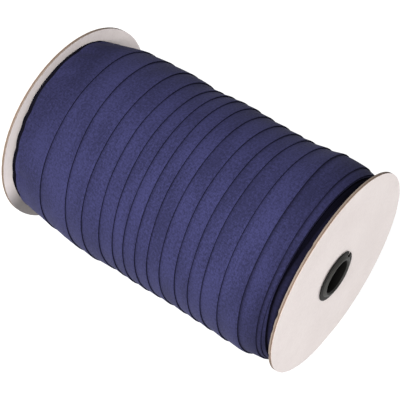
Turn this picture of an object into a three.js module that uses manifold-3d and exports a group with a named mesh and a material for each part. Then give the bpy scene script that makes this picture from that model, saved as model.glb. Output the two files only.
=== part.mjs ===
// A spool of navy fold-over elastic: one long band wound on a card tube between two white card discs.
// Millimetres, +Z up. The spool lies on the rims of its discs with its axis along X, and the origin is
// on the surface under its middle. "Near" is the +X end, "far" the -X end, "front" is -Y, "back" is +Y.

import * as THREE from 'three';
import { mergeVertices } from 'three/addons/utils/BufferGeometryUtils.js';
import Module from 'manifold-3d';

const wasm = await Module();
wasm.setup();

// Sizes of the spool
const DISC_RADIUS = 56;
const DISC_THICKNESS = 1.6;
const SPOOL_LENGTH = 169;
const REST_FLAT_DEPTH = 0.5;
const GAP = 0.3;
const DISC_SEGMENTS = 60;

// How far the top and the front of each disc lean out of upright, because card discs never sit dead square
const DISC_LEAN = {
  near: { top: 0.9, front: -0.3 },
  far: { top: 0.7, front: 1.4 },
};

// The tube and the bushings sit this far off the middle of the discs, towards the front and the top
const HUB_FRONT = 2.6;
const HUB_UP = 1.6;
const TUBE_INNER_RADIUS = 10.6;
const TUBE_OUTER_RADIUS = 13;
const TUBE_END_GAP = 0.7;
const HUB_SEGMENTS = 48;

// The plastic bushing at each end: a barrel inside the tube and a dished collar on the disc's face
const BUSHING = {
  boreRadius: 8.9,
  barrelRadius: 10,
  barrelDepth: 10,
  flangeRadius: 14,
  flangeEdge: 0.7,
  rimOuterRadius: 13.2,
  rimInnerRadius: 12.6,
  rimHeight: 1.7,
  dishRadius: 10.3,
  dishHeight: 0.9,
  lipRadius: 9.5,
  lipHeight: 2.1,
};

// The straight slit through the bushing's collar, above its bore on the back side
const SLIT = { width: 0.8, up: 10.2, from: 5, to: 20, height: 6 };

// The elastic
const ELASTIC_THICKNESS = 0.7;
const WOUND_SECTIONS = 48;
const CUT_END_ANGLE = -160;
const END_FADE = 30;

// Where the right-hand edge of each turn lies, from the outermost turn at the far end to the lowest one at
// the near end: its distance from the far disc's outer face, at the back, on top and at the front
const EDGE_ANGLES = { back: -40, top: 20, front: 80 };
const TURNS = [
  { back: 22.5, top: 23.3, front: 23 },
  { back: 35.7, top: 37.4, front: 41.5 },
  { back: 50.5, top: 51.3, front: 52.5 },
  { back: 60.5, top: 61, front: 63.2 },
  { back: 69.4, top: 69.5, front: 71.8 },
  { back: 76.5, top: 77.2, front: 78.8 },
  { back: 83.6, top: 84.5, front: 86.3 },
  { back: 91.4, top: 91.9, front: 93.7 },
  { back: 99.9, top: 99.8, front: 101.3 },
  { back: 109.6, top: 108.9, front: 110.6 },
  { back: 118.4, top: 117.8, front: 118.8 },
  { back: 125.8, top: 125.3, front: 126.6 },
  { back: 135.2, top: 135.6, front: 136.8 },
  { back: 145, top: 147.8, front: 148.8 },
  { back: 157, top: 158, front: 159.3 },
  { back: 162, top: 162.3, front: 162.8 },
];

// How high the wound elastic stands over the spool's axis, on its back and its front outline
const OUTLINE_ANGLES = { back: -51, front: 119 };
const OUTLINE = [
  { at: 2.5, back: 50.4, front: 51.3 },
  { at: 11, back: 51.4, front: 52.4 },
  { at: 22, back: 51.9, front: 53.7 },
  { at: 36, back: 52.4, front: 55.3 },
  { at: 53, back: 52.6, front: 56.2 },
  { at: 66, back: 51.2, front: 55.4 },
  { at: 84, back: 52.3, front: 55.8 },
  { at: 103, back: 51.5, front: 55.4 },
  { at: 121, back: 51, front: 55.7 },
  { at: 138, back: 52.2, front: 56.1 },
  { at: 146, back: 53.4, front: 56.3 },
  { at: 155, back: 52.6, front: 54.6 },
  { at: 159, back: 51.8, front: 53.8 },
  { at: 162, back: 50.8, front: 52.8 },
];

// The left-hand edge of the outermost turn, and the step down from it to the layer against the far disc
const FIRST_EDGE = [
  { angle: -160, at: 4.3 },
  { angle: -90, at: 4 },
  { angle: -40, at: 2.8 },
  { angle: 20, at: 2.8 },
  { angle: 80, at: 4.2 },
  { angle: 120, at: 5 },
  { angle: 200, at: 4.3 },
];
const FIRST_EDGE_DROP = 1.2;

// The groove beside the near disc: where the last turn ends, and how deep the layer below it lies
const GROOVE = [
  { angle: -160, at: 164.6, depth: 2 },
  { angle: -60, at: 162.7, depth: 3.6 },
  { angle: 50, at: 163, depth: 3.6 },
  { angle: 80, at: 164.6, depth: 2 },
  { angle: 100, at: 165.6, depth: 1.2 },
  { angle: 150, at: 165.6, depth: 1.2 },
  { angle: 200, at: 164.6, depth: 2 },
];

const AXIS_HEIGHT = DISC_RADIUS - REST_FLAT_DEPTH;
const HALF_LENGTH = SPOOL_LENGTH / 2;

const WHITE_CARD = { color: 0xe5dbd9, roughness: 0.75, metalness: 0 };
const KRAFT_CARD = { color: 0xa98f70, roughness: 0.9, metalness: 0 };
const BLACK_PLASTIC = { color: 0x2f2c2a, roughness: 0.45, metalness: 0 };
const NAVY_ELASTIC = { color: 0x3d3c64, roughness: 0.95, metalness: 0 };

// Solids and cuts
const MERGE_DISTANCE = 1e-4;

function toSolid(geometry) {
  const bare = geometry.clone();
  bare.deleteAttribute('normal');
  bare.deleteAttribute('uv');
  const merged = mergeVertices(bare, MERGE_DISTANCE);
  return new wasm.Manifold(new wasm.Mesh({
    numProp: 3,
    vertProperties: new Float32Array(merged.attributes.position.array),
    triVerts: new Uint32Array(merged.index.array),
  }));
}

function toGeometry(solid) {
  const mesh = solid.getMesh();
  const geometry = new THREE.BufferGeometry();
  geometry.setAttribute('position', new THREE.BufferAttribute(mesh.vertProperties, 3));
  geometry.setIndex(new THREE.BufferAttribute(mesh.triVerts, 1));
  geometry.computeVertexNormals();
  return geometry;
}

function cut(geometry, ...tools) {
  return toGeometry(tools.reduce((solid, tool) => solid.subtract(toSolid(tool)), toSolid(geometry)));
}

// A solid turned about the X axis from a closed outline of [radius, distance along X] points
function turned(outline) {
  const points = [...outline, outline[0]].map(([radius, along]) => new THREE.Vector2(radius, along));
  return new THREE.LatheGeometry(points, HUB_SEGMENTS).rotateZ(-Math.PI / 2);
}

function namedMesh(name, geometry, finish) {
  const mesh = new THREE.Mesh(geometry, new THREE.MeshStandardMaterial(finish));
  mesh.name = name;
  return mesh;
}

// A value read off a table at a place between its rows
function between(rows, key, place, column) {
  const last = rows.length - 1;
  const next = THREE.MathUtils.clamp(rows.findIndex((row) => row[key] >= place), 1, last);
  const above = place > rows[last][key] ? last : next;
  const from = rows[above - 1];
  const to = rows[above];
  const share = THREE.MathUtils.clamp((place - from[key]) / (to[key] - from[key]), 0, 1);
  return THREE.MathUtils.lerp(from[column], to[column], share);
}

// The ends of the spool
const END_FACING = { near: 1, far: -1 };

// The turn that sets one end piece, drawn facing +X at the origin, onto the leaning end of the spool
function endPlacement(end) {
  const facing = END_FACING[end];
  const lean = DISC_LEAN[end];
  const placement = new THREE.Group();
  placement.position.set(facing * HALF_LENGTH, 0, AXIS_HEIGHT);
  placement.rotation.set(
    0,
    facing * Math.atan(lean.top / DISC_RADIUS),
    facing * Math.atan(lean.front / DISC_RADIUS),
  );
  return placement;
}

// How far the inside of a leaning disc moves along X at a point beside the axis
function leanShift(end, y, up) {
  const lean = DISC_LEAN[end];
  return END_FACING[end] * (lean.top * up - lean.front * y) / DISC_RADIUS;
}

// A card disc with its punched hole, cut to a small flat where its rim rests
function disc(end) {
  const outline = new THREE.Shape();
  outline.absarc(0, 0, DISC_RADIUS, 0, 2 * Math.PI);
  const hole = new THREE.Path();
  hole.absarc(-HUB_UP, -HUB_FRONT, BUSHING.barrelRadius + GAP, 0, 2 * Math.PI, true);
  outline.holes.push(hole);
  const inward = END_FACING[end] > 0 ? -DISC_THICKNESS : 0;
  const card = new THREE.ExtrudeGeometry(outline, {
    depth: DISC_THICKNESS,
    bevelEnabled: false,
    curveSegments: DISC_SEGMENTS,
  });
  card.rotateY(Math.PI / 2).translate(inward, 0, 0);
  const placement = endPlacement(end);
  placement.updateMatrixWorld();
  card.applyMatrix4(placement.matrixWorld);
  const surface = new THREE.BoxGeometry(2 * SPOOL_LENGTH, 3 * DISC_RADIUS, DISC_RADIUS);
  surface.translate(0, 0, -DISC_RADIUS / 2);
  return namedMesh(`disc_${end}`, cut(card, surface), WHITE_CARD);
}

// A bushing with its collar dished around a raised bore, slit once so that it springs into the tube
function bushing(end) {
  const b = BUSHING;
  const collar = turned([
    [b.boreRadius, -b.barrelDepth],
    [b.barrelRadius, -b.barrelDepth],
    [b.barrelRadius, GAP],
    [b.flangeRadius, GAP],
    [b.flangeRadius, b.flangeEdge],
    [b.rimOuterRadius, b.rimHeight],
    [b.rimInnerRadius, b.rimHeight],
    [b.dishRadius, b.dishHeight],
    [b.lipRadius, b.lipHeight],
    [b.boreRadius, b.lipHeight],
  ]);
  const slit = new THREE.BoxGeometry(SLIT.height, SLIT.to - SLIT.from, SLIT.width);
  slit.translate(0, (SLIT.from + SLIT.to) / 2, SLIT.up);
  const mesh = namedMesh(`bushing_${end}`, cut(collar, slit), BLACK_PLASTIC);
  mesh.position.set(0, -HUB_FRONT, HUB_UP);
  if (END_FACING[end] < 0) mesh.rotation.z = Math.PI;
  return endPlacement(end).add(mesh);
}

function coreTube() {
  const half = HALF_LENGTH - DISC_THICKNESS - TUBE_END_GAP;
  const mesh = namedMesh('core_tube', turned([
    [TUBE_INNER_RADIUS, -half],
    [TUBE_OUTER_RADIUS, -half],
    [TUBE_OUTER_RADIUS, half],
    [TUBE_INNER_RADIUS, half],
  ]), KRAFT_CARD);
  mesh.position.set(0, -HUB_FRONT, AXIS_HEIGHT + HUB_UP);
  return mesh;
}

// The wound elastic
// One edge runs from turn to turn as a single line, so its place depends on the angle counted on from the
// cut end: angle 0 is the top, and it grows towards the front.
const EDGE_LINE = TURNS.flatMap((turn, index) => Object.entries(EDGE_ANGLES).map(
  ([side, angle]) => ({ angle: 360 * index + angle, at: turn[side] }),
));

function edgeAt(turn, angle) {
  return between(EDGE_LINE, 'angle', angle + 360 * (turn - 1), 'at');
}

// Height of the winding over the axis, without the steps from turn to turn
function skinAt(at, angle) {
  const back = between(OUTLINE, 'at', at, 'back');
  const front = between(OUTLINE, 'at', at, 'front');
  const backSine = Math.sin(THREE.MathUtils.degToRad(OUTLINE_ANGLES.back));
  const frontSine = Math.sin(THREE.MathUtils.degToRad(OUTLINE_ANGLES.front));
  const sway = (front - back) / (frontSine - backSine);
  return front + sway * (Math.sin(THREE.MathUtils.degToRad(angle)) - frontSine);
}

// Each turn lies over the edge of its right-hand neighbour: it rises to its own edge and drops off there
const RISE = ELASTIC_THICKNESS / 2;

// How far the surface stands over the skin just left and just right of a turn's edge. The outermost turn's
// step fades out towards its cut end, where one slope runs on into the turn below.
function stepAt(turn, angle, previousEdge) {
  if (turn > 1) return { left: RISE, right: -RISE };
  const grown = THREE.MathUtils.clamp((angle - CUT_END_ANGLE) / END_FADE, 0, 1);
  const share = (edgeAt(1, angle) - previousEdge) / (edgeAt(2, angle) - previousEdge);
  const slope = THREE.MathUtils.lerp(-RISE, RISE, share);
  return {
    left: THREE.MathUtils.lerp(slope, RISE, grown),
    right: THREE.MathUtils.lerp(slope, -RISE, grown),
  };
}

// Points of the winding's outline, each with a rank that stays the same along one edge
function onSkin(rank, at, angle, lift) {
  const radians = THREE.MathUtils.degToRad(angle);
  const height = skinAt(at, angle) + lift;
  const y = -height * Math.sin(radians);
  const up = height * Math.cos(radians);
  return { rank, position: [at - HALF_LENGTH, y, up + AXIS_HEIGHT] };
}

function onWall(rank, end, angle, height, middle = { front: 0, up: 0 }) {
  const radians = THREE.MathUtils.degToRad(angle);
  const y = -height * Math.sin(radians) - middle.front;
  const up = height * Math.cos(radians) + middle.up;
  const x = END_FACING[end] * (HALF_LENGTH - DISC_THICKNESS - GAP) + leanShift(end, y, up);
  return { rank, position: [x, y, up + AXIS_HEIGHT] };
}

const RANKS_PER_TURN = 10;
const LEFT_END_RANK = -1000;
const RIGHT_END_RANK = 1000;
const FIRST_TURN_STOPS = [0.3, 0.6, 0.8];
const TURN_STOPS = [0.5];

// The left end: up the far disc, along the layer that shows beside it, and onto the outermost turn
function leftEnd(angle) {
  const edge = between(FIRST_EDGE, 'angle', angle, 'at');
  const low = -RISE - FIRST_EDGE_DROP;
  return [
    onWall(LEFT_END_RANK + 1, 'far', angle, skinAt(edge, angle) + low),
    onSkin(LEFT_END_RANK + 2, edge, angle, low),
    onSkin(LEFT_END_RANK + 3, edge, angle, -RISE),
  ];
}

// The turns, each from the edge on its left to its own
function turnsAcross(angle) {
  const points = [];
  let previousEdge = between(FIRST_EDGE, 'angle', angle, 'at');
  TURNS.forEach((_, index) => {
    const turn = index + 1;
    const rank = RANKS_PER_TURN * turn;
    const edge = edgeAt(turn, angle);
    const step = stepAt(turn, angle, previousEdge);
    const stops = turn === 1 ? FIRST_TURN_STOPS : TURN_STOPS;
    stops.forEach((stop, place) => {
      const at = THREE.MathUtils.lerp(previousEdge, edge, stop);
      const lift = THREE.MathUtils.lerp(-RISE, step.left, stop);
      points.push(onSkin(rank - RANKS_PER_TURN / 2 + place, at, angle, lift));
    });
    points.push(onSkin(rank, edge, angle, step.left));
    points.push(onSkin(rank + 1, edge, angle, step.right));
    previousEdge = edge;
  });
  return points;
}

// The right end: off the last turn, down into the groove and along the lower layer to the near disc
function rightEnd(angle) {
  const at = between(GROOVE, 'angle', angle, 'at');
  const low = -RISE - between(GROOVE, 'angle', angle, 'depth');
  return [
    onSkin(RIGHT_END_RANK - 3, at, angle, -RISE),
    onSkin(RIGHT_END_RANK - 2, at, angle, low),
    onWall(RIGHT_END_RANK - 1, 'near', angle, skinAt(at, angle) + low),
  ];
}

// The whole outline at an angle, from the tube up one end, across the turns and back down to the tube
function windingOutline(angle) {
  const hub = { front: HUB_FRONT, up: HUB_UP };
  const bore = TUBE_OUTER_RADIUS + GAP;
  return [
    onWall(LEFT_END_RANK, 'far', angle, bore, hub),
    ...leftEnd(angle),
    ...turnsAcross(angle),
    ...rightEnd(angle),
    onWall(RIGHT_END_RANK, 'near', angle, bore, hub),
  ];
}

// The triangles between two neighbouring outlines, taken in order of rank
function stitch(hereRanks, nextRanks, hereStart, nextStart) {
  const triangles = [];
  const hereLast = hereRanks.length - 1;
  const nextLast = nextRanks.length - 1;
  let here = 0;
  let next = 0;
  while (here < hereLast || next < nextLast) {
    const takeHere = next === nextLast || (here < hereLast && hereRanks[here + 1] <= nextRanks[next + 1]);
    const corner = takeHere ? hereStart + here + 1 : nextStart + next + 1;
    triangles.push(hereStart + here, nextStart + next, corner);
    if (takeHere) here += 1;
    else next += 1;
  }
  triangles.push(hereStart + hereLast, nextStart + nextLast, hereStart);
  triangles.push(hereStart, nextStart + nextLast, nextStart);
  return triangles;
}

// The winding's surface. Past the cut end each turn carries on as the next one, so the last outline's turns
// are ranked one turn higher where they meet the first outline.
function windingGeometry() {
  const outlines = Array.from(
    { length: WOUND_SECTIONS },
    (_, index) => windingOutline(CUT_END_ANGLE + (360 / WOUND_SECTIONS) * index),
  );
  const pointCount = outlines[0].length;
  const triangles = outlines.flatMap((outline, index) => {
    const nextIndex = (index + 1) % WOUND_SECTIONS;
    const isTurn = (point) => point.rank > 0 && point.rank < RIGHT_END_RANK / 2;
    const shift = nextIndex === 0 ? RANKS_PER_TURN : 0;
    const hereRanks = outline.map((point) => point.rank + (isTurn(point) ? shift : 0));
    const nextRanks = outlines[nextIndex].map((point) => point.rank);
    return stitch(hereRanks, nextRanks, index * pointCount, nextIndex * pointCount);
  });
  const positions = outlines.flatMap((outline) => outline.flatMap((point) => point.position));
  const geometry = new THREE.BufferGeometry();
  geometry.setAttribute('position', new THREE.Float32BufferAttribute(positions, 3));
  geometry.setIndex(triangles);
  geometry.computeVertexNormals();
  return geometry;
}

const spool = new THREE.Group();
spool.add(coreTube());
spool.add(namedMesh('wound_elastic', windingGeometry(), NAVY_ELASTIC));
Object.keys(END_FACING).forEach((end) => {
  spool.add(disc(end));
  spool.add(bushing(end));
});

export default spool;
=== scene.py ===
import math

import bmesh
import bpy
import numpy as np
from mathutils import Matrix, Vector


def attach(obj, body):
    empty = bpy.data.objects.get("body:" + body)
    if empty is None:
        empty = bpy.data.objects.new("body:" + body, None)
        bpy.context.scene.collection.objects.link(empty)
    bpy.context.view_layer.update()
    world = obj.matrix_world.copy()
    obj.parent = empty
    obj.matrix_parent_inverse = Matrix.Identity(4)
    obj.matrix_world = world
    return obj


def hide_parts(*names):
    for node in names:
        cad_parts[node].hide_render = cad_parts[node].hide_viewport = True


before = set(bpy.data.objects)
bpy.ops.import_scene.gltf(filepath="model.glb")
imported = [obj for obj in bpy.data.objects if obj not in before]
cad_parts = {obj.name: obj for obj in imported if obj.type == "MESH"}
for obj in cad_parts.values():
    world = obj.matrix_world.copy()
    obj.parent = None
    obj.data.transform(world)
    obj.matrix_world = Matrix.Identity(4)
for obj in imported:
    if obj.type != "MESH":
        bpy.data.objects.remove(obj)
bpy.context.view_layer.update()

# A spool of navy fold-over elastic: one long band wound on a card tube between two white card discs.
# The spool lies along X. Near is the +X end, far the -X end, front is -Y and back is +Y.
# Tables and sizes are in millimetres, as the maker's drawing gives them, and meshes are in metres.
# Places along the spool are counted from the far disc's outer face. Angles run round the axis in
# degrees, from 0 on top to 90 at the front.
MM = 0.001

# Sizes of the spool
DISC_RADIUS = 56
DISC_THICKNESS = 1.6
SPOOL_LENGTH = 169
HALF_LENGTH = SPOOL_LENGTH / 2
REST_FLAT_DEPTH = 0.5
AXIS_HEIGHT = DISC_RADIUS - REST_FLAT_DEPTH
FIT_GAP = 0.3
FACING = {"near": 1, "far": -1}
# How far each disc leans outwards at the top and at the front of its rim
DISC_LEAN = {"near": {"top": 0.9, "front": -0.3}, "far": {"top": 0.7, "front": 1.4}}
# The hub's middle lies this far in front of the discs' axis and above it
HUB_FRONT = 2.6
HUB_UP = 1.6
HOLE_RADIUS = 10.3
TUBE_INNER_RADIUS = 10.6
TUBE_OUTER_RADIUS = 13
TUBE_HALF_LENGTH = 82.2

# Turns of the elastic: where each one's right-hand edge lies at the back (40 degrees behind the top),
# near the top (20 in front of it) and at the front (80 in front of it)
EDGE_ANGLES = (-40, 20, 80)
TURN_EDGES = (
    (22.5, 23.3, 23), (35.7, 37.4, 41.5), (50.5, 51.3, 52.5), (60.5, 61, 63.2),
    (69.4, 69.5, 71.8), (76.5, 77.2, 78.8), (83.6, 84.5, 86.3), (91.4, 91.9, 93.7),
    (99.9, 99.8, 101.3), (109.6, 108.9, 110.6), (118.4, 117.8, 118.8), (125.8, 125.3, 126.6),
    (135.2, 135.6, 136.8), (145, 147.8, 148.8), (157, 158, 158.3), (162, 161.8, 160.7),
)
TURN_COUNT = len(TURN_EDGES)
CUT_END_ANGLE = -160
CUT_END_EDGE = 23.6

# Height of the winding over the axis along its back outline and its front outline
OUTLINE_ANGLES = (-51, 119)
OUTLINE_AT = (2.5, 11, 22, 36, 53, 66, 84, 103, 121, 138, 146, 155, 159, 162)
OUTLINE_BACK = (50.4, 51.4, 51.9, 52.4, 52.6, 51.2, 52.3, 51.5, 51, 52.2, 53.4, 52.6, 51.8, 50.8)
OUTLINE_FRONT = (51.3, 52.4, 53.7, 55.3, 56.2, 55.4, 55.8, 55.4, 55.7, 56.1, 56.3, 54.6, 53.8, 52.8)

# Towards the far disc the back sags and the top is piled up: how deep, by angle, fading away between
# two places along the spool
SAG_ANGLES = (-160, -110, -75, -52, -38, -26, -10, 12, 30, 50, 75, 200)
SAG = (0, 0.6, 1.6, 1.9, 1.7, 0.1, -1, -1.1, -0.9, -0.4, 0, 0)
SAG_FADES = (5, 23)

# Left-hand edge of the outermost turn, which bulges between creases where it is drawn in. Each crease
# is a few degrees wide and runs in from the edge as a valley, deepest a little way in.
FIRST_EDGE_ANGLES = (-160, -90, -40, 0, 26, 45, 72, 90, 105, 120, 160, 200)
FIRST_EDGE_AT = (3.9, 3.4, 2.6, 3.3, 2.9, 3.4, 3.5, 3.8, 3.2, 2.9, 5.4, 9.4)
CREASES = (-170, -146, -121, -98, -80, -59, -42, -24, -5, 17, 41, 52, 65, 83, 101, 122, 143, 160, 181, 200)
CREASE_DEPTH = 0.4
CREASE_DEGREES = 3.4
BULGE_SQUARENESS = 1.7
BULGE_RISE = 0.3
BULGE_REACH = 4
VALLEY_AT = 3.5
VALLEY_DEPTH = 0.7
VALLEY_LEAN = 0.5

# The layer under it that shows between it and the disc: how far it stands out, how much lower it is,
# and how far down its side is drawn
LEDGE_ANGLES = (-160, -30, 45, 65, 85, 105, 200)
LEDGE_WIDTH = (2.3, 2.3, 2.3, 2.3, 3.1, 3.4, 2.5)
LEDGE_DEPTH = (0.5, 0.1, 0.1, 0.4, 0.5, 0.6, 0.5)
LEDGE_SIDE = 5
LEDGE_SIDE_LEANS_FROM = 3
LEDGE_ROUND = 0.7
LEDGE_DIP_AT_CREASE = 0.1
LEDGE_OFF_DISC = 0.05
LEAST_FAR_GAP = 1.5

# Last edge beside the near disc, and the depth of the groove between it and the disc. The edges of the
# layers below show in the groove's side, at these shares of its depth, each with its own unevenness.
GROOVE_ANGLES = (-160, -100, -60, 20, 42, 60, 80, 100, 150, 200)
GROOVE_AT = (164, 163.2, 162.7, 162, 161.6, 161.3, 162.1, 162.9, 164.5, 164)
GROOVE_DEPTH = (3, 5, 8, 8.5, 4.8, 2.8, 2, 1.8, 2.2, 3)
GROOVE_RADIUS = 52
GROOVE_LAYERS = ((0.3, 30), (0.5, 50), (0.7, 70))
LEAST_LAYER_DEPTH = 0.6
LEAST_STRIP = 0.3
STRIP_STOPS = (0.15, 0.5, 0.85)
# The floor of the groove stops this far from the disc, with a rounded edge, and is drawn at these shares
# of its width
FLOOR_OFF_DISC = 0.9
FLOOR_ROUND = 0.6
FLOOR_STOPS = (0.3, 0.45, 0.78)

# Winding. A turn's edge stands two rises over the turn beside it. The cut end lies on top of the next
# turn and settles to the even step as it goes round, and the last turn's edge sinks low on the front.
RISE = 0.35
RISE_OF_END = 0.72
RISE_UNDER_END = 0.13
END_SETTLES = (CUT_END_ANGLE, CUT_END_ANGLE + 75)
LAST_EDGE_SINKS = (80, 200)
BAND_WIDTH = 20
MEAN_RADIUS = 53
TUCK_DEPTH = 0.9
SECTIONS = 320
SEAM_GAP = 0.04
# The rounded edge of the band from its face round to its underside: in from the edge, down from the face
EDGE_ROUND = ((0.32, 0.0), (0.13, 0.05), (0.02, 0.16), (0.0, 0.3), (0.04, 0.45), (0.16, 0.56))
# The face between its two edges is drawn at these shares of its width, close lines where it is creased
FACE_STARTS, FIRST_FACE_STARTS, FACE_ENDS = 0.35, 0.7, 0.6
FACE_STOPS = (0, 0.1, 0.28, 0.5, 0.72, 0.9, 1)
FIRST_FACE_STOPS = (0, 0.03, 0.07, 0.12, 0.17, 0.23, 0.3, 0.38, 0.46, 0.55, 0.64, 0.74, 0.84, 0.93, 1)
EDGE_TOP_AT = 0.4
BESIDE = 0.08
EDGE_KNOTS = [CUT_END_ANGLE] + [360 * turn + a for turn in range(TURN_COUNT) for a in EDGE_ANGLES]
EDGE_ROWS = [CUT_END_EDGE] + [at for turn in TURN_EDGES for at in turn]
# Half way up a disc, the line round the winding's end is centred between the hub and the axis
END_MIDDLE_RADIUS, END_MIDDLE_SHARE = 32, 0.6

# Unevenness of the wound band: how much, the degrees round the spool in a wave, and its seed
EDGE_WAVES = (0.09, 70, 11)
CREASE_WAVES = (0.5, 50, 3)
FACE_WAVES = (0.07, 50, 20)
FACE_WAVE_WIDTH = 15
GROOVE_WAVES = (0.15, 60, 9)
LAYER_WAVES = (0.2, 40)

# Painted shade on the elastic, by how deeply a place is tucked away: 0 in the open, 1 where no light comes
HIDDEN = 1.0
UNDER_EDGE, UNDER_LAST_EDGE = 0.8, 0.9
# Painted shade on a rounded edge is full from this depth under its face; the groove's two start darker
EDGE_DARK_FROM, LEFT_EDGE_DARK_FROM, GROOVE_EDGE_DARK_FROM = 0.45, 0.3, 0.5
GROOVE_EDGE_LEAST, FLOOR_EDGE_LEAST = 0.3, 0.95
BESIDE_EDGE, BESIDE_EDGE_REACH = 0.5, 0.6
BESIDE_CROWDED_EDGE, BESIDE_CROWDED_REACH = 0.9, 1.3
FIRST_CROWDED_TURN = TURN_COUNT - 1
STRIP_OPEN, STRIP_DIMMED = 0.35, 0.5
FLOOR_OPEN, FLOOR_DIMMED, FLOOR_BY_DISC = 0.66, 0.24, 0.97
GROOVE_DIMS = (2.5, 6)
# How much the discs shade the band beside them, along the spool and by angle
FAR_SHADE, FAR_SHADE_FADES, FAR_SHADE_STOPS = 0.3, (8, 34), (82, 37)
NEAR_SHADE, NEAR_SHADE_GROWS = 0.33, (142, 163)
LOW_NEAR_SHADE, LOW_NEAR_SHADE_GROWS = 0.2, (55, 100)


def share_between(value, start, stop):
    """How far a value has come from start to stop, held between 0 and 1."""
    return np.clip((value - start) / (stop - start), 0, 1)


def smooth_step(value, start, stop):
    """Rises from 0 to 1 as a value goes from start to stop, softly at both ends."""
    share = share_between(value, start, stop)
    return share * share * (3 - 2 * share)


def flowing(knots, rows, places):
    """Reads a table between its rows as one smooth line that never overshoots them."""
    knots, rows = np.asarray(knots, float), np.asarray(rows, float)
    steps = np.diff(knots)
    rises = np.diff(rows) / steps
    slopes = np.zeros(len(knots))
    same_way = rises[:-1] * rises[1:] > 0
    before, after = 2 * steps[1:] + steps[:-1], steps[1:] + 2 * steps[:-1]
    with np.errstate(divide="ignore", invalid="ignore"):
        mean = (before + after) / (before / rises[:-1] + after / rises[1:])
    slopes[1:-1] = np.where(same_way, mean, 0)
    places = np.clip(places, knots[0], knots[-1])
    row = np.clip(np.searchsorted(knots, places, side="right") - 1, 0, len(steps) - 1)
    width = steps[row]
    share = (places - knots[row]) / width
    rest = 1 - share
    return (
        rows[row] * (1 + 2 * share) * rest**2
        + rows[row + 1] * (3 - 2 * share) * share**2
        + slopes[row] * width * share * rest**2
        - slopes[row + 1] * width * share**2 * rest
    )


def soft_waves(seed, along, across=0.0):
    """A gentle unevenness between about -1 and 1. along and across are counted in its wavelengths."""
    draw = np.random.RandomState(seed)
    total = 0
    for _ in range(5):
        pace, lean, start = draw.uniform(0.6, 1.9), draw.uniform(-1, 1), draw.uniform(0, 2 * math.pi)
        total = total + np.sin(2 * math.pi * (pace * along + lean * across) + start)
    return total / 3


def uneven(waves, angle):
    """The unevenness of a line that runs round the spool."""
    size, degrees, seed = waves
    return size * soft_waves(seed, angle / degrees)


def lean_shift(end, y, up):
    """How far a leaning disc's inside moves along X at a point beside the axis."""
    lean = DISC_LEAN[end]
    return FACING[end] * (lean["top"] * up - lean["front"] * y) / DISC_RADIUS


def end_shade(at, angle):
    """How much the discs shade the band beside them. The far one's shade stops low on the front, where
    the near one's grows."""
    far = FAR_SHADE * (1 - smooth_step(at, *FAR_SHADE_FADES)) * share_between(angle, *FAR_SHADE_STOPS)
    near = NEAR_SHADE + LOW_NEAR_SHADE * share_between(angle, *LOW_NEAR_SHADE_GROWS)
    return far + near * smooth_step(at, *NEAR_SHADE_GROWS)


def edge_shade(down, dark_from, least=0.0):
    """How much shade is painted on a rounded edge at a depth under its face: full from one depth on."""
    return least + (1 - least) * min(down / dark_from, 1)


def creased(angle):
    """How far an angle is from the creases: 0 at a crease and 1 in the middle of a bulge, then 1 close to
    a crease and 0 elsewhere."""
    creases = np.asarray(CREASES, float)
    row = np.clip(np.searchsorted(creases, angle, side="right") - 1, 0, len(creases) - 2)
    share = (angle - creases[row]) / (creases[row + 1] - creases[row])
    bulge = 1 - np.abs(2 * share - 1) ** BULGE_SQUARENESS
    nearest = np.min(np.abs(angle[:, None] - creases[None, :]), axis=1)
    return bulge, np.exp(-(nearest / CREASE_DEGREES) ** 2)


def edge_at(turn, angle):
    """The right-hand edge of a turn. One edge runs on from turn to turn, so the angle counts on too."""
    run = angle + 360 * (turn - 1)
    return flowing(EDGE_KNOTS, EDGE_ROWS, run) + uneven(EDGE_WAVES, run)


def skin_at(at, angle):
    """Height of the winding over the axis, without the steps from turn to turn."""
    back = flowing(OUTLINE_AT, OUTLINE_BACK, at)
    front = flowing(OUTLINE_AT, OUTLINE_FRONT, at)
    back_sine, front_sine = (math.sin(math.radians(a)) for a in OUTLINE_ANGLES)
    even = front + (front - back) / (front_sine - back_sine) * (np.sin(np.radians(angle)) - front_sine)
    return even - flowing(SAG_ANGLES, SAG, angle) * (1 - smooth_step(at, *SAG_FADES))


def turn_lifts(turn, angle):
    """How high a turn's left-hand and right-hand sides stand over the even skin."""
    settled = smooth_step(angle, *END_SETTLES)
    low, high = -RISE + 0 * angle, RISE + 0 * angle
    if turn == 1:
        high = RISE_OF_END + (RISE - RISE_OF_END) * settled
    if turn == 2:
        low = RISE_UNDER_END + (-RISE - RISE_UNDER_END) * settled
    if turn == TURN_COUNT:
        high = RISE - 2 * RISE * smooth_step(angle, *LAST_EDGE_SINKS)
    return low, high


def face_lift(turn, x, left, width, lifts, angle):
    """How high the face of a turn stands over the even skin, at a place between its two edges."""
    low, high = lifts
    share = np.clip((x - left) / width, 0, 1)
    lift = low + (high - low) * share
    size, degrees, seed = FACE_WAVES
    run = angle + 360 * (turn - 1)
    waves = soft_waves(seed + turn, run / degrees, x / FACE_WAVE_WIDTH)
    lift = lift + size * waves * np.minimum(share * 4, 1)
    if turn == 1:
        # Each crease runs in from the edge as a shallow valley that leans, deepens and dies away
        inward = x - left
        bulge = creased(angle)[0]
        valley = creased(angle + VALLEY_LEAN * inward)[1] * (1 + uneven(CREASE_WAVES, angle))
        reach = inward / VALLEY_AT
        raised = BULGE_RISE * bulge * np.exp(-inward / BULGE_REACH)
        loose = raised - VALLEY_DEPTH * valley * reach * np.exp(1 - reach)
        lift = lift + loose * np.clip(smooth_step(angle, *END_SETTLES) * 3, 0, 1)
    return lift


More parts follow.
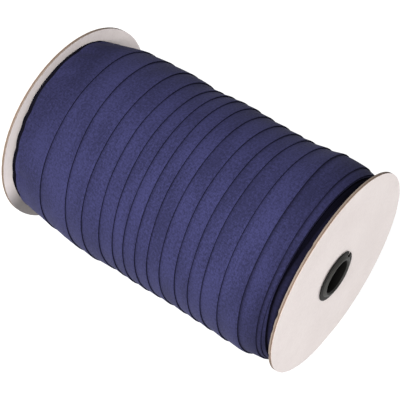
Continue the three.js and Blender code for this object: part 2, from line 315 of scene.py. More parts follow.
class Lines:
    """The lines that run round the winding, from the far end's bore to the near end's. Each has the turn
    that it belongs to, its points, its place on the band (length and width in metres) and how much
    shade is painted on it, by how deeply it is tucked away."""

    def __init__(self, angle):
        self.angle = angle
        self.sine, self.cosine = np.sin(np.radians(angle)), np.cos(np.radians(angle))
        self.turns, self.points, self.band, self.painted_shade = [], [], [], []

    def put(self, turn, x, height, across, painted_shade, hub_share=0.0):
        """Adds a line at a height over the axis or, by a share, over the hub's own middle."""
        y = -height * self.sine - hub_share * HUB_FRONT
        z = height * self.cosine + hub_share * HUB_UP + AXIS_HEIGHT
        turned = (self.angle - CUT_END_ANGLE + 360 * max(turn - 1, 0)) / 360
        run = turned * 2 * math.pi * MEAN_RADIUS
        self.turns.append(turn)
        self.points.append(np.stack([x - HALF_LENGTH, y, z], -1) * MM)
        self.band.append(np.stack([run, across + 0 * self.angle], -1) * MM)
        # Painted shade: the larger of the line's own and the discs' painted shade
        self.painted_shade.append(np.maximum(painted_shade, end_shade(x, self.angle)))

    def on_skin(self, turn, x, lift, across, painted_shade):
        self.put(turn, x, skin_at(x, self.angle) + lift, across, painted_shade)

    def on_disc(self, turn, end, height, hub_share=0.0):
        """Adds a line against the inside of a disc, and gives back how far along it lies."""
        y = -height * self.sine - hub_share * HUB_FRONT
        up = height * self.cosine + hub_share * HUB_UP
        x = FACING[end] * (HALF_LENGTH - DISC_THICKNESS - FIT_GAP) + lean_shift(end, y, up) + HALF_LENGTH
        self.put(turn, x, height + 0 * self.angle, 0.0, HIDDEN, hub_share)
        return x


def far_end(lines):
    """Goes up the far disc, over the layer beside it and in under the outermost turn. Gives back that
    turn's left-hand edge."""
    angle = lines.angle
    bulge, crease = creased(angle)
    crease = crease * (1 + uneven(CREASE_WAVES, angle))
    left = flowing(FIRST_EDGE_ANGLES, FIRST_EDGE_AT, angle) + CREASE_DEPTH * (1 - bulge)
    low = -RISE - flowing(LEDGE_ANGLES, LEDGE_DEPTH, angle) - LEDGE_DIP_AT_CREASE * crease
    lines.on_disc(0, "far", TUBE_OUTER_RADIUS + FIT_GAP, 1)
    lines.on_disc(0, "far", END_MIDDLE_RADIUS, END_MIDDLE_SHARE)
    wall_at = lines.on_disc(0, "far", skin_at(left, angle) + low - LEDGE_SIDE)
    left = np.maximum(left, wall_at + LEAST_FAR_GAP)
    ledge = np.maximum(left - flowing(LEDGE_ANGLES, LEDGE_WIDTH, angle), wall_at + LEDGE_OFF_DISC)
    lines.on_skin(0, 0.5 * (wall_at + ledge), low - LEDGE_SIDE - 0.2, 5, HIDDEN)
    lines.on_skin(0, ledge + 0.1, low - LEDGE_SIDE_LEANS_FROM, 4, HIDDEN)
    for inward, down in reversed(EDGE_ROUND):
        lines.on_skin(0, ledge + LEDGE_ROUND * inward, low - down, 3, HIDDEN)
    lines.on_skin(0, left - 0.1, low, 2.5, HIDDEN)
    lines.on_skin(0, left + 0.12, low, 1, HIDDEN)
    return left


def wind_turns(lines, left):
    """Goes over the turns, each from under the edge on its left to its own edge. Gives back the last."""
    angle = lines.angle
    previous = left
    for turn in range(1, TURN_COUNT + 1):
        edge = edge_at(turn, angle)
        width = edge - previous
        low, high = lifts = turn_lifts(turn, angle)
        step = (high + RISE) / (2 * RISE)
        if turn == 1:
            top = face_lift(turn, left, previous, width, lifts, angle)
            for inward, down in reversed(EDGE_ROUND):
                painted_shade = edge_shade(down, LEFT_EDGE_DARK_FROM)
                lines.on_skin(turn, left + inward, top - down, BAND_WIDTH - inward, painted_shade)
            stops, start = FIRST_FACE_STOPS, left + FIRST_FACE_STARTS
        else:
            tuck_in = np.minimum(TUCK_DEPTH, 0.4 * previous_width)
            lines.on_skin(turn, previous - tuck_in, low + 0.02 * previous_step, width + TUCK_DEPTH, HIDDEN)
            lines.on_skin(turn, previous - BESIDE, low, width, UNDER_EDGE)
            stops, start = FACE_STOPS, previous + FACE_STARTS
        for stop in stops:
            x = start + (edge - FACE_ENDS - start) * stop
            painted_shade = 0
            if turn >= FIRST_CROWDED_TURN:
                painted_shade = BESIDE_CROWDED_EDGE * np.exp(-(x - previous) / BESIDE_CROWDED_REACH)
            elif turn > 1:
                painted_shade = BESIDE_EDGE * np.exp(-(x - previous) / BESIDE_EDGE_REACH)
            lines.on_skin(turn, x, face_lift(turn, x, previous, width, lifts, angle), edge - x, painted_shade)
        top = face_lift(turn, edge - EDGE_TOP_AT, previous, width, lifts, angle)
        for inward, down in EDGE_ROUND:
            lines.on_skin(turn, edge - inward, top - down * step, inward, edge_shade(down, EDGE_DARK_FROM))
        previous, previous_width, previous_step = edge, width, step
    return previous


def near_end(lines, previous):
    """Goes past the last turn's edge, along the strip below it and down the groove to the near disc."""
    angle = lines.angle
    groove = flowing(GROOVE_ANGLES, GROOVE_AT, angle) + uneven(GROOVE_WAVES, angle)
    groove = np.maximum(groove, previous + LEAST_STRIP)
    depth = flowing(GROOVE_ANGLES, GROOVE_DEPTH, angle)
    dimmed = smooth_step(depth, *GROOVE_DIMS)
    last = TURN_COUNT + 1
    strip = -RISE + 0 * angle
    lines.on_skin(last, previous - 0.7, strip + 0.02, 4, HIDDEN)
    lines.on_skin(last, previous - BESIDE, strip, 3.5, UNDER_LAST_EDGE)
    for stop in STRIP_STOPS:
        x = previous + (groove - previous) * stop
        lines.on_skin(last, x, strip, groove - x, STRIP_OPEN + STRIP_DIMMED * dimmed)
    for inward, down in EDGE_ROUND[1:]:
        painted_shade = edge_shade(down, GROOVE_EDGE_DARK_FROM, GROOVE_EDGE_LEAST)
        lines.on_skin(last, groove - inward, strip - down, inward, painted_shade)

    # Each layer's edge stands out over a crevice
    for layer, seed in GROOVE_LAYERS:
        ragged = uneven((*LAYER_WAVES, seed), angle)
        down = np.maximum(layer * depth, LEAST_LAYER_DEPTH)
        lines.on_skin(last, groove - 0.45 + 0.3 * layer, strip - down + 0.1, 4, HIDDEN)
        lines.on_skin(last, groove + ragged, strip - down, 3.6, UNDER_LAST_EDGE)

    # The floor of the groove, and its rounded side beside the disc
    floor = strip - depth
    wall_at = HALF_LENGTH + (HALF_LENGTH - DISC_THICKNESS - FIT_GAP) + lean_shift(
        "near", -GROOVE_RADIUS * lines.sine, GROOVE_RADIUS * lines.cosine)
    floor_end = wall_at - FLOOR_OFF_DISC
    floor_painted_shade = FLOOR_OPEN + FLOOR_DIMMED * dimmed
    lines.on_skin(last, groove - 0.3, floor + 0.15, 3, HIDDEN)
    lines.on_skin(last, groove + 0.1, floor, 2.6, UNDER_LAST_EDGE)
    for stop, painted_shade, across in zip(FLOOR_STOPS, (floor_painted_shade, floor_painted_shade, FLOOR_BY_DISC), (1.4, 1.2, 0.9)):
        lines.on_skin(last, groove + stop * (floor_end - groove), floor, across, painted_shade)
    for inward, down in EDGE_ROUND:
        painted_shade = edge_shade(down, GROOVE_EDGE_DARK_FROM, FLOOR_EDGE_LEAST)
        lines.on_skin(last, floor_end - FLOOR_ROUND * inward, floor - down, inward, painted_shade)
    lines.on_skin(last, floor_end + 0.1, floor - 1.1, 1, HIDDEN)
    lines.on_disc(last, "near", skin_at(groove, angle) + floor - 1.2)
    lines.on_disc(last, "near", END_MIDDLE_RADIUS, END_MIDDLE_SHARE)
    lines.on_disc(last, "near", TUBE_OUTER_RADIUS + FIT_GAP, 1)


def zipped(here, there, points):
    """Triangles between two lines of points that share no count, by the shorter crossing each time."""
    triangles, i, j = [], 0, 0
    while i < len(here) - 1 or j < len(there) - 1:
        on_here = j == len(there) - 1
        if not on_here and i < len(here) - 1:
            across_here = np.linalg.norm(points[here[i + 1]] - points[there[j]])
            across_there = np.linalg.norm(points[here[i]] - points[there[j + 1]])
            on_here = across_here <= across_there
        if on_here:
            triangles.append((here[i], there[j], here[i + 1]))
            i += 1
        else:
            triangles.append((here[i], there[j], there[j + 1]))
            j += 1
    return triangles


def wind_elastic():
    """The wound band as one closed surface: its lines joined round the spool and then at the cut end."""
    angles = np.append(CUT_END_ANGLE + 360 / SECTIONS * np.arange(SECTIONS), CUT_END_ANGLE + 360 - SEAM_GAP)
    lines = Lines(angles)
    near_end(lines, wind_turns(lines, far_end(lines)))
    count, turns = len(lines.turns), lines.turns
    points = np.stack(lines.points, 1).reshape(-1, 3)
    band = np.stack(lines.band, 1).reshape(-1, 2)
    painted_shade = np.stack(lines.painted_shade, 1).reshape(-1)

    faces = []
    for section in range(SECTIONS):
        here, there = section * count, (section + 1) * count
        for c in range(count):
            d = (c + 1) % count
            faces.append((here + c, there + c, there + d, here + d))

    # Past the cut end each turn runs on as the next one, and the outermost turn's end stands free
    last = SECTIONS * count
    of_turn = {t: [c for c in range(count) if turns[c] == t] for t in range(TURN_COUNT + 2)}
    for turn in range(2, TURN_COUNT):
        for c, d in zip(of_turn[turn], of_turn[turn + 1]):
            if c != of_turn[turn][-1]:
                faces.append((last + c, d, d + 1, last + c + 1))
    for turn in range(2, TURN_COUNT - 1):
        c, d = of_turn[turn][-1], of_turn[turn + 1][-1]
        faces.append((last + c, d, d + 1, last + c + 1))
    faces += zipped(
        [last + c for c in range(of_turn[2][0] + 1)], list(range(of_turn[3][0] + 1)), points)
    faces += zipped(
        [last + c for c in range(of_turn[TURN_COUNT - 1][-1], count)],
        list(range(of_turn[TURN_COUNT][-1], count)), points)
    faces.append((last + count - 1, count - 1, 0, last))

    mesh = bpy.data.meshes.new("wound_band")
    mesh.from_pydata(points.tolist(), [], faces)
    uv = mesh.uv_layers.new(name="along_band")
    corner_points = np.zeros(len(mesh.loops), np.int32)
    mesh.loops.foreach_get("vertex_index", corner_points)
    uv.data.foreach_set("uv", band[corner_points].astype(np.float32).ravel())
    # Painted shade, kept on each point for the elastic's material
    mesh.attributes.new("painted_shade", "FLOAT", "POINT").data.foreach_set("value", painted_shade.astype(np.float32))
    mesh.polygons.foreach_set("use_smooth", [True] * len(mesh.polygons))
    body = bmesh.new()
    body.from_mesh(mesh)
    bmesh.ops.recalc_face_normals(body, faces=body.faces)
    body.to_mesh(mesh)
    body.free()
    mesh.update()
    roll = bpy.data.objects.new("elastic_roll", mesh)
    bpy.context.scene.collection.objects.link(roll)
    return roll


# Modelling by hand
def start_afresh():
    if bpy.context.object and bpy.context.object.mode != "OBJECT":
        bpy.ops.object.mode_set(mode="OBJECT")
    bpy.ops.object.select_all(action="DESELECT")


def take_up(piece):
    start_afresh()
    piece.select_set(True)
    bpy.context.view_layer.objects.active = piece


def choose_points(piece, test):
    """Selects the points of a piece, in edit mode, whose place passes a test."""
    bpy.ops.mesh.select_mode(type="VERT")
    bpy.ops.mesh.select_all(action="DESELECT")
    body = bmesh.from_edit_mesh(piece.data)
    for point in body.verts:
        point.select_set(test(point.co))
    body.select_flush(True)
    bmesh.update_edit_mesh(piece.data)


def end_placement(end):
    """Sets a piece drawn facing +X at the origin onto the leaning end of the spool."""
    facing, lean = FACING[end], DISC_LEAN[end]
    turn = Matrix.Rotation(facing * math.atan(lean["top"] / DISC_RADIUS), 4, "Y") @ Matrix.Rotation(
        facing * math.atan(lean["front"] / DISC_RADIUS), 4, "Z")
    return Matrix.Translation((facing * HALF_LENGTH * MM, 0, AXIS_HEIGHT * MM)) @ turn


def settle(piece, placement):
    """Puts a finished piece in its place and leaves its object at the origin."""
    take_up(piece)
    piece.matrix_world = placement
    bpy.ops.object.transform_apply(location=True, rotation=True, scale=True)


def clean_up(piece):
    """Merges doubled points and turns the faces outwards."""
    take_up(piece)
    bpy.ops.object.mode_set(mode="EDIT")
    bpy.ops.mesh.select_mode(type="VERT")
    bpy.ops.mesh.select_all(action="SELECT")
    bpy.ops.mesh.remove_doubles(threshold=1e-6)
    bpy.ops.mesh.normals_make_consistent(inside=False)
    bpy.ops.object.mode_set(mode="OBJECT")


def apply_modifier(piece, kind, **settings):
    take_up(piece)
    modifier = piece.modifiers.new(kind.title(), kind)
    for name, value in settings.items():
        setattr(modifier, name, value)
    bpy.ops.object.modifier_apply(modifier=modifier.name)


def soften_edges(piece, width, sharper_than):
    """Bevels the edges where two faces meet at more than an angle in degrees."""
    apply_modifier(
        piece, "BEVEL", width=width * MM, segments=2, limit_method="ANGLE",
        angle_limit=math.radians(sharper_than))


def shade_smooth(piece, up_to):
    """Shades a piece smoothly over edges that turn less than an angle in degrees."""
    take_up(piece)
    bpy.ops.object.shade_smooth_by_angle(angle=math.radians(up_to))


FACE_X = (0, math.pi / 2, 0)
RIM_POINTS = 240
# Plies of the disc from its outer face inwards: a white face paper, the brown core and a paler back
PLIES = {"face": 0.25, "core": 0.6, "back": 0.75}
# The knife leaves the rim clean at the two outer planes and ragged where two plies meet
CLEAN_CUT, RAGGED_CUT = 0.05, 0.09
# Dents in the rim's soft back: the angle and how deep
RIM_NICKS = {"near": ((29, 0.6), (67, 0.8), (76, 0.5), (97, 0.4)), "far": ((20, 0.3), (150, 0.4))}
NICK_REACH = 1.6
NICK_BEHIND = 1
RIM_FROM = 0.985 * DISC_RADIUS
# A face whose normal's share along X is under this looks sideways, so it belongs to the cut edge
SIDEWAYS = 0.7
# The outer face keeps slot 0
CORE_SLOT, BACK_SLOT, FACE_EDGE_SLOT, INSIDE_SLOT = 1, 2, 3, 4


def rim_slot(depth):
    """The slot of the cut edge at a depth behind the disc's outer face."""
    if depth < PLIES["face"]:
        return FACE_EDGE_SLOT
    return CORE_SLOT if depth < PLIES["face"] + PLIES["core"] else BACK_SLOT


def card_disc(end):
    """A die-cut disc: an open ring bridged between two circles, then extruded ply by ply."""
    inward = -FACING[end]
    start_afresh()
    bpy.ops.mesh.primitive_circle_add(
        vertices=RIM_POINTS, radius=DISC_RADIUS * MM, fill_type="NOTHING", rotation=FACE_X)
    disc = bpy.context.object
    disc.name = f"card_disc_{end}"
    bpy.ops.object.transform_apply(rotation=True)
    bpy.ops.object.mode_set(mode="EDIT")
    bpy.ops.mesh.primitive_circle_add(
        vertices=RIM_POINTS, radius=HOLE_RADIUS * MM, fill_type="NOTHING", rotation=FACE_X,
        location=(0, -HUB_FRONT * MM, HUB_UP * MM))
    bpy.ops.mesh.select_all(action="SELECT")
    bpy.ops.mesh.bridge_edge_loops()
    bpy.ops.mesh.select_all(action="SELECT")
    for thickness in PLIES.values():
        bpy.ops.mesh.extrude_region_move(
            TRANSFORM_OT_translate={"value": (inward * thickness * MM, 0, 0)})
    bpy.ops.mesh.select_all(action="SELECT")
    bpy.ops.mesh.normals_make_consistent(inside=False)

    # Each ply's rim is a little uneven, and the soft back ply is dented in places
    depth = 0.0
    rim = RIM_FROM * MM
    for plane, thickness in enumerate((0, *PLIES.values())):
        depth += thickness * MM
        choose_points(disc, lambda co: math.hypot(co.y, co.z) > rim and abs(abs(co.x) - depth) < 1e-5)
        raggedness = CLEAN_CUT if plane in (0, len(PLIES)) else RAGGED_CUT
        bpy.ops.transform.vertex_random(offset=raggedness * MM, uniform=0.2, normal=0, seed=plane + 3)
    for angle, size in RIM_NICKS[end]:
        outward = Vector((0, -math.sin(math.radians(angle)), math.cos(math.radians(angle))))
        nick = outward * DISC_RADIUS * MM
        choose_points(disc, lambda co: (
            (Vector((0, co.y, co.z)) - nick).length < NICK_REACH * MM and abs(co.x) > NICK_BEHIND * MM))
        bpy.ops.transform.translate(value=tuple(-nick.normalized() * size * MM))
    bpy.ops.object.mode_set(mode="OBJECT")

    for polygon in disc.data.polygons:
        middle, normal = polygon.center, polygon.normal
        if abs(normal.x) < SIDEWAYS or math.hypot(middle.y, middle.z) > rim:
            polygon.material_index = rim_slot(abs(middle.x) / MM)
        # Inside faces get the finish with painted shade low down
        elif normal.x * inward > SIDEWAYS:
            polygon.material_index = INSIDE_SLOT
    settle(disc, end_placement(end))

    # The small flat that the disc rests on
    bpy.ops.object.mode_set(mode="EDIT")
    bpy.ops.mesh.select_all(action="SELECT")
    bpy.ops.mesh.bisect(
        plane_co=(0, 0, 0), plane_no=(0, 0, 1), use_fill=True, clear_inner=True, threshold=1e-7)
    bpy.ops.object.mode_set(mode="OBJECT")
    clean_up(disc)
    shade_smooth(disc, up_to=30)
    return disc


def ringed(name, rings, points):
    """A ring drawn about X from one circle, extruded and scaled from ring to ring and bridged shut.
    Rings are (radius, distance along X)."""
    radius, along = rings[0]
    start_afresh()
    bpy.ops.mesh.primitive_circle_add(
        vertices=points, radius=radius * MM, fill_type="NOTHING", rotation=FACE_X,
        location=(along * MM, 0, 0))
    piece = bpy.context.object
    piece.name = name
    bpy.ops.object.transform_apply(location=True, rotation=True)
    bpy.ops.object.mode_set(mode="EDIT")
    bpy.ops.mesh.select_mode(type="EDGE")
    bpy.ops.mesh.select_all(action="SELECT")
    for new_radius, new_along in rings[1:]:
        growth = new_radius / radius
        bpy.ops.mesh.extrude_edges_move(TRANSFORM_OT_translate={"value": ((new_along - along) * MM, 0, 0)})
        if growth != 1:
            bpy.ops.transform.resize(value=(1, growth, growth), center_override=(new_along * MM, 0, 0))
        radius, along = new_radius, new_along
    bpy.ops.mesh.select_all(action="DESELECT")
    bpy.ops.mesh.select_non_manifold(extend=False)
    bpy.ops.mesh.bridge_edge_loops()
    bpy.ops.object.mode_set(mode="OBJECT")
    clean_up(piece)
    return piece


RING_POINTS = 96
# From the barrel in the tube, out over the collar's dished face and lip and back to the bore
BUSHING_RINGS = (
    (8.9, -10), (10, -10), (10, 0.3), (14, 0.3), (14, 0.65), (13.2, 0.95), (11.5, 0.95),
    (11.1, 1.5), (10.4, 1.9), (9.8, 1.9), (9.5, 1.1), (8.9, 0.8),
)
# The collar keeps slot 0
BORE_REACH, LIP_REACH = 9.25, 12.3
BORE_SLOT, LIP_SLOT = 1, 2
# The notch starts inside the collar and opens towards its rim
NOTCH = {"angle": 55, "from": 11.2, "to": 17, "inner_width": 3.3, "outer_width": 4.8, "height": 6}


def hub_bushing(end):
    """A moulded collar, dished around a raised lip, with one flared notch cut out of its rim."""
    bushing = ringed(f"bushing_{end}_moulded", BUSHING_RINGS, RING_POINTS)
    soften_edges(bushing, width=0.16, sharper_than=20)
    start_afresh()
    length = NOTCH["to"] - NOTCH["from"]
    bpy.ops.mesh.primitive_cube_add(size=1, location=(0, 0, (NOTCH["from"] + length / 2) * MM))
    blade = bpy.context.object
    blade.scale = (NOTCH["height"] * MM, NOTCH["inner_width"] * MM, length * MM)
    bpy.ops.object.transform_apply(location=True, scale=True)
    bpy.ops.object.mode_set(mode="EDIT")
    choose_points(blade, lambda co: co.z > NOTCH["to"] * MM - 1e-6)
    flare = NOTCH["outer_width"] / NOTCH["inner_width"]
    bpy.ops.transform.resize(value=(1, flare, 1), center_override=(0, 0, NOTCH["to"] * MM))
    bpy.ops.object.mode_set(mode="OBJECT")
    settle(blade, Matrix.Rotation(-math.radians(NOTCH["angle"]), 4, "X"))
    apply_modifier(bushing, "BOOLEAN", object=blade, operation="DIFFERENCE", solver="EXACT")
    bpy.data.objects.remove(blade)
    # Painted shade on the bore's faces and painted light on the lip's, given by their slots
    for polygon in bushing.data.polygons:
        out = math.hypot(polygon.center.y, polygon.center.z)
        if out < BORE_REACH * MM:
            polygon.material_index = BORE_SLOT
        elif out < LIP_REACH * MM:
            polygon.material_index = LIP_SLOT
    placement = end_placement(end) @ Matrix.Translation((0, -HUB_FRONT * MM, HUB_UP * MM))
    if end == "far":
        placement = placement @ Matrix.Rotation(math.pi, 4, "Z")
    settle(bushing, placement)
    clean_up(bushing)
    shade_smooth(bushing, up_to=40)
    return bushing


def core_tube():
    """A parallel kraft tube with its cut ends slightly softened."""
    half = TUBE_HALF_LENGTH
    rings = (
        (TUBE_INNER_RADIUS, -half), (TUBE_OUTER_RADIUS, -half),
        (TUBE_OUTER_RADIUS, half), (TUBE_INNER_RADIUS, half))
    tube = ringed("kraft_core_tube", rings, RING_POINTS)
    soften_edges(tube, width=0.2, sharper_than=30)
    settle(tube, Matrix.Translation((0, -HUB_FRONT * MM, (AXIS_HEIGHT + HUB_UP) * MM)))
    shade_smooth(tube, up_to=40)
    return tube


# Materials
def linear(colour):
    """An sRGB hex colour as Blender's linear one."""
    channels = [(colour >> shift & 255) / 255 for shift in (16, 8, 0)]
    return (*[c / 12.92 if c <= 0.04045 else ((c + 0.055) / 1.055) ** 2.4 for c in channels], 1)


def in_a_metre(*sizes):
    """How often a pattern of these sizes in millimetres repeats in a metre."""
    return tuple(1000 / size for size in sizes)


def add_node(tree, kind, settings=None, values=None, links=None):
    """Adds one node: its own settings, the values of its open sockets, and what is linked into it."""
    node = tree.nodes.new(kind)
    for name, value in (settings or {}).items():
        setattr(node, name, value)
    for socket, value in (values or {}).items():
        node.inputs[socket].default_value = value
    for socket, source in (links or {}).items():
        tree.links.new(source, node.inputs[socket])
    return node


def new_material(name):
    material = bpy.data.materials.new(name)
    material.use_nodes = True
    tree = material.node_tree
    tree.nodes.clear()
    surface = add_node(tree, "ShaderNodeBsdfPrincipled")
    add_node(tree, "ShaderNodeOutputMaterial", links={"Surface": surface.outputs[0]})
    return material, tree, surface


# Sockets of a Mix node that mixes colours
FACTOR, COLOUR_A, COLOUR_B, COLOUR_OUT = 0, 6, 7, 2
# Patterns on the elastic, along it and across it: its loops, a mottle of the yarn, and patches of tone
LOOP_SIZE, MOTTLE_SIZE, PATCH_SIZE = (1.1, 0.9), (1.5, 1.2), (38, 14)


def knitted_nylon_elastic():
    """Navy knitted nylon and elastane: matt, with a soft bloom and the fine pebble of its loops.
    Loops are 0.5 mm apart; they are drawn 1.1 by 0.9 mm so that they show as a faint grain."""
    material, tree, surface = new_material("knitted navy nylon elastic")
    band = add_node(tree, "ShaderNodeUVMap", {"uv_map": "along_band"})
    by_loop = add_node(
        tree, "ShaderNodeMapping", values={"Scale": (*in_a_metre(*LOOP_SIZE), 1)},
        links={"Vector": band.outputs[0]})
    loops = add_node(
        tree, "ShaderNodeTexVoronoi", {"voronoi_dimensions": "2D", "feature": "F1"},
        {"Scale": 1, "Randomness": 0.55}, {"Vector": by_loop.outputs[0]})
    by_mottle = add_node(
        tree, "ShaderNodeMapping", values={"Scale": (*in_a_metre(*MOTTLE_SIZE), 1)},
        links={"Vector": band.outputs[0]})
    mottle = add_node(
        tree, "ShaderNodeTexNoise", {"noise_dimensions": "2D"},
        {"Scale": 1, "Detail": 3, "Roughness": 0.65}, {"Vector": by_mottle.outputs[0]})
    by_patch = add_node(
        tree, "ShaderNodeMapping", values={"Scale": (*in_a_metre(*PATCH_SIZE), 1)},
        links={"Vector": band.outputs[0]})
    patches = add_node(
        tree, "ShaderNodeTexNoise", {"noise_dimensions": "2D"},
        {"Scale": 1, "Detail": 2, "Roughness": 0.5}, {"Vector": by_patch.outputs[0]})

    # Colour: dyed a little unevenly, darker between the loops, with painted shade darkest where it is
    # tucked away
    grain = add_node(
        tree, "ShaderNodeMath", {"operation": "MULTIPLY_ADD"}, {1: 0.6},
        {0: patches.outputs[0], 2: mottle.outputs[0]})
    share = add_node(
        tree, "ShaderNodeMapRange", values={"From Min": 0.62, "From Max": 0.98},
        links={"Value": grain.outputs[0]})
    dyed = add_node(
        tree, "ShaderNodeMix", {"data_type": "RGBA"},
        {COLOUR_A: linear(0x20203D), COLOUR_B: linear(0x2D2D51)}, {FACTOR: share.outputs[0]})
    between = add_node(
        tree, "ShaderNodeMapRange",
        values={"From Min": 0.25, "From Max": 0.75, "To Min": 1.05, "To Max": 0.72},
        links={"Value": loops.outputs["Distance"]})
    knitted = add_node(
        tree, "ShaderNodeMix", {"data_type": "RGBA", "blend_type": "MULTIPLY"}, {FACTOR: 1.0},
        {COLOUR_A: dyed.outputs[COLOUR_OUT], COLOUR_B: between.outputs[0]})
    # Painted shade: the colour is mixed towards near-black where the band is tucked away
    painted_shade = add_node(tree, "ShaderNodeAttribute", {"attribute_name": "painted_shade"})
    tucked = add_node(
        tree, "ShaderNodeMix", {"data_type": "RGBA"}, {COLOUR_B: linear(0x0D0C13)},
        {FACTOR: painted_shade.outputs["Fac"], COLOUR_A: knitted.outputs[COLOUR_OUT]})
    tree.links.new(tucked.outputs[COLOUR_OUT], surface.inputs["Base Color"])

    # Relief: each loop stands up, on a surface that the yarn makes a little uneven
    pebble = add_node(
        tree, "ShaderNodeBump", {"invert": True}, {"Strength": 0.35, "Distance": 0.12 * MM},
        {"Height": loops.outputs["Distance"]})
    relief = add_node(
        tree, "ShaderNodeBump", values={"Strength": 0.25, "Distance": 0.15 * MM},
        links={"Height": mottle.outputs[0], "Normal": pebble.outputs[0]})
    tree.links.new(relief.outputs[0], surface.inputs["Normal"])

    # Gloss and bloom, which fade out in the crevices
    surface.inputs["Roughness"].default_value = 0.92
    surface.inputs["IOR"].default_value = 1.53
    for socket, in_the_open in (("Specular IOR Level", 0.15), ("Sheen Weight", 0.05)):
        faded = add_node(
            tree, "ShaderNodeMapRange", values={"To Min": in_the_open, "To Max": 0},
            links={"Value": painted_shade.outputs["Fac"]})
        tree.links.new(faded.outputs[0], surface.inputs[socket])
    surface.inputs["Sheen Roughness"].default_value = 0.6
    surface.inputs["Sheen Tint"].default_value = linear(0x8C8CC0)
    return material


# Patches of tone in pressed pulp. An inside face has painted shade low down, where the winding shades it:
# how dim, and between which heights over the floor.
PULP_PATCH_SIZE = 22
DIMMEST = 0.22
DIMS_BETWEEN = (32, 57)


def card_paper(name, dark, light, fibre_size, roughness, painted_shade_low_down=False):
    """Paper or board pressed from pulp: matt, with a low mottle of short fibres and soft patches. A cut
    edge is rougher and its fibres are shorter. An inside face can have painted shade low down."""
    material, tree, surface = new_material(name)
    place = add_node(tree, "ShaderNodeTexCoord")
    fibres = add_node(
        tree, "ShaderNodeTexNoise",
        values={"Scale": in_a_metre(fibre_size)[0], "Detail": 4, "Roughness": 0.6},
        links={"Vector": place.outputs["Object"]})
    patches = add_node(
        tree, "ShaderNodeTexNoise",
        values={"Scale": in_a_metre(PULP_PATCH_SIZE)[0], "Detail": 2, "Roughness": 0.5},
        links={"Vector": place.outputs["Object"]})
    mottle = add_node(
        tree, "ShaderNodeMath", {"operation": "ADD"}, links={0: fibres.outputs[0], 1: patches.outputs[0]})
    share = add_node(
        tree, "ShaderNodeMapRange", values={"From Min": 0.65, "From Max": 1.35},
        links={"Value": mottle.outputs[0]})
    colour = add_node(
        tree, "ShaderNodeMix", {"data_type": "RGBA"},
        {COLOUR_A: linear(dark), COLOUR_B: linear(light)}, {FACTOR: share.outputs[0]})
    relief = add_node(
        tree, "ShaderNodeBump", values={"Strength": 0.2, "Distance": 0.05 * MM},
        links={"Height": fibres.outputs[0]})
    # Painted shade: darker low down on an inside face, where the winding shades it
    if painted_shade_low_down:
        low, high = DIMS_BETWEEN
        height = add_node(tree, "ShaderNodeSeparateXYZ", links={"Vector": place.outputs["Object"]})
        openness = add_node(
            tree, "ShaderNodeMapRange", {"interpolation_type": "SMOOTHSTEP"},
            {"From Min": low * MM, "From Max": high * MM, "To Min": DIMMEST, "To Max": 1},
            {"Value": height.outputs["Z"]})
        colour = add_node(
            tree, "ShaderNodeMix", {"data_type": "RGBA", "blend_type": "MULTIPLY"}, {FACTOR: 1.0},
            {COLOUR_A: colour.outputs[COLOUR_OUT], COLOUR_B: openness.outputs[0]})
    tree.links.new(colour.outputs[COLOUR_OUT], surface.inputs["Base Color"])
    tree.links.new(relief.outputs[0], surface.inputs["Normal"])
    surface.inputs["Roughness"].default_value = roughness
    surface.inputs["IOR"].default_value = 1.5
    surface.inputs["Specular IOR Level"].default_value = 0.25
    return material


FLOW_SIZE = 4


def moulded_polypropylene(name, dark, light, smoothest, roughest, gloss):
    """Black injection-moulded polypropylene: satin, and faintly uneven where it flowed in the mould."""
    material, tree, surface = new_material(name)
    place = add_node(tree, "ShaderNodeTexCoord")
    flow = add_node(
        tree, "ShaderNodeTexNoise",
        values={"Scale": in_a_metre(FLOW_SIZE)[0], "Detail": 4, "Roughness": 0.6},
        links={"Vector": place.outputs["Object"]})
    colour = add_node(
        tree, "ShaderNodeMix", {"data_type": "RGBA"},
        {COLOUR_A: linear(dark), COLOUR_B: linear(light)}, {FACTOR: flow.outputs[0]})
    satin = add_node(
        tree, "ShaderNodeMapRange", values={"To Min": smoothest, "To Max": roughest},
        links={"Value": flow.outputs[0]})
    relief = add_node(
        tree, "ShaderNodeBump", values={"Strength": 0.15, "Distance": 0.05 * MM},
        links={"Height": flow.outputs[0]})
    tree.links.new(colour.outputs[COLOUR_OUT], surface.inputs["Base Color"])
    tree.links.new(satin.outputs[0], surface.inputs["Roughness"])
    tree.links.new(relief.outputs[0], surface.inputs["Normal"])
    surface.inputs["IOR"].default_value = 1.49
    surface.inputs["Specular IOR Level"].default_value = gloss
    return material


WHITE_FACE = card_paper("white-faced greyboard", 0xEADFDC, 0xF4EAE7, 1.6, 0.62)
WHITE_INSIDE_PAINTED_SHADE = card_paper(
    "white-faced greyboard with painted shade, inside", 0xEADFDC, 0xF4EAE7, 1.6, 0.62, painted_shade_low_down=True)
FACE_EDGE = card_paper("white face ply, die-cut edge", 0x9F8E83, 0xB0A195, 0.9, 0.9)
BOARD_CORE = card_paper("greyboard core, die-cut edge", 0x554439, 0x69574B, 0.9, 0.9)
BOARD_BACK = card_paper("greyboard back ply, die-cut edge", 0x6C5F55, 0x7E7167, 0.9, 0.9)
KRAFT = card_paper("spiral-wound kraft paper", 0x8E7557, 0xA98F70, 2.2, 0.85)
ELASTIC = knitted_nylon_elastic()
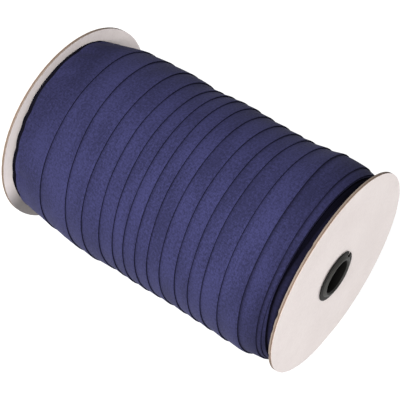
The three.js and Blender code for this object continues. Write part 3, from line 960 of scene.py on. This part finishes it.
# The bore is a duller copy, darker by painted shade, and the lip a shinier copy, paler by painted light
COLLAR_PLASTIC = moulded_polypropylene("moulded black polypropylene", 0x0D0B0A, 0x1C1917, 0.5, 0.65, 0.12)
BORE_PAINTED_SHADE_PLASTIC = moulded_polypropylene(
    "moulded black polypropylene, bore with painted shade", 0x080707, 0x100F0E, 0.8, 0.9, 0.1)
LIP_PAINTED_LIGHT_PLASTIC = moulded_polypropylene(
    "moulded black polypropylene, lip with painted light", 0x21201E, 0x363532, 0.5, 0.65, 0.35)

# Pieces
elastic_roll = wind_elastic()
elastic_roll.data.materials.append(ELASTIC)
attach(elastic_roll, "root")
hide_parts("wound_elastic")

for end in FACING:
    disc = card_disc(end)
    for finish in (WHITE_FACE, BOARD_CORE, BOARD_BACK, FACE_EDGE, WHITE_INSIDE_PAINTED_SHADE):
        disc.data.materials.append(finish)
    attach(disc, "root")
    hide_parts(f"disc_{end}")
    bushing = hub_bushing(end)
    for finish in (COLLAR_PLASTIC, BORE_PAINTED_SHADE_PLASTIC, LIP_PAINTED_LIGHT_PLASTIC):
        bushing.data.materials.append(finish)
    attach(bushing, "root")
    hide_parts(f"bushing_{end}")

tube = core_tube()
tube.data.materials.append(KRAFT)
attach(tube, "root")
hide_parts("core_tube")

# Stage: a pale floor that glows almost white, a dim room and one soft box over the front
FLOOR_GREY, WHITE = 0x6C6C6C, 0xFFFFFF
FLOOR_GLOW = 0.96
ROOM_LIGHT = 0.1
KEY_AT, KEY_AIM = (0.19, -0.9, 1.13), (0, 0, 0.05)
KEY_SIZE, KEY_WATTS = 0.8, 47

start_afresh()
bpy.ops.mesh.primitive_plane_add(size=8)
floor = bpy.context.object
floor.name = "floor"
paper, _, paper_surface = new_material("pale backdrop paper")
paper_surface.inputs["Base Color"].default_value = linear(FLOOR_GREY)
paper_surface.inputs["Roughness"].default_value = 0.9
paper_surface.inputs["Specular IOR Level"].default_value = 0.1
paper_surface.inputs["Emission Color"].default_value = linear(WHITE)
paper_surface.inputs["Emission Strength"].default_value = FLOOR_GLOW
floor.data.materials.append(paper)

world = bpy.data.worlds.new("studio")
bpy.context.scene.world = world
world.use_nodes = True
world.node_tree.nodes["Background"].inputs["Color"].default_value = linear(WHITE)
world.node_tree.nodes["Background"].inputs["Strength"].default_value = ROOM_LIGHT

light = bpy.data.lights.new("key", "AREA")
light.shape = "SQUARE"
light.size = KEY_SIZE
light.energy = KEY_WATTS
soft_box = bpy.data.objects.new("key", light)
soft_box.location = KEY_AT
soft_box.rotation_mode = "QUATERNION"
soft_box.rotation_quaternion = (Vector(KEY_AIM) - Vector(KEY_AT)).to_track_quat("-Z", "Y")
bpy.context.scene.collection.objects.link(soft_box)

# Camera, at the photograph's viewing angle: its place, the way it looks and its upward direction
CAMERA_AT = (0.2626, -0.3481, 0.5737)
CAMERA_LOOK = (-0.3858, 0.5116, -0.7677)
CAMERA_UP = (-0.4622, 0.6129, 0.6408)
SENSOR_WIDTH, LENS = 36, 118.35
view = bpy.data.cameras.new("camera")
view.sensor_width = SENSOR_WIDTH
view.lens = LENS
view.dof.use_dof = False
view.clip_start, view.clip_end = 0.01, 20
camera = bpy.data.objects.new("camera", view)
look = Vector(CAMERA_LOOK).normalized()
right = look.cross(Vector(CAMERA_UP)).normalized()
above = right.cross(look)
turn = Matrix((right, above, -look)).transposed().to_4x4()
camera.matrix_world = Matrix.Translation(CAMERA_AT) @ turn
bpy.context.scene.collection.objects.link(camera)
bpy.context.scene.camera = camera
bpy.context.scene.view_settings.view_transform = "Standard"
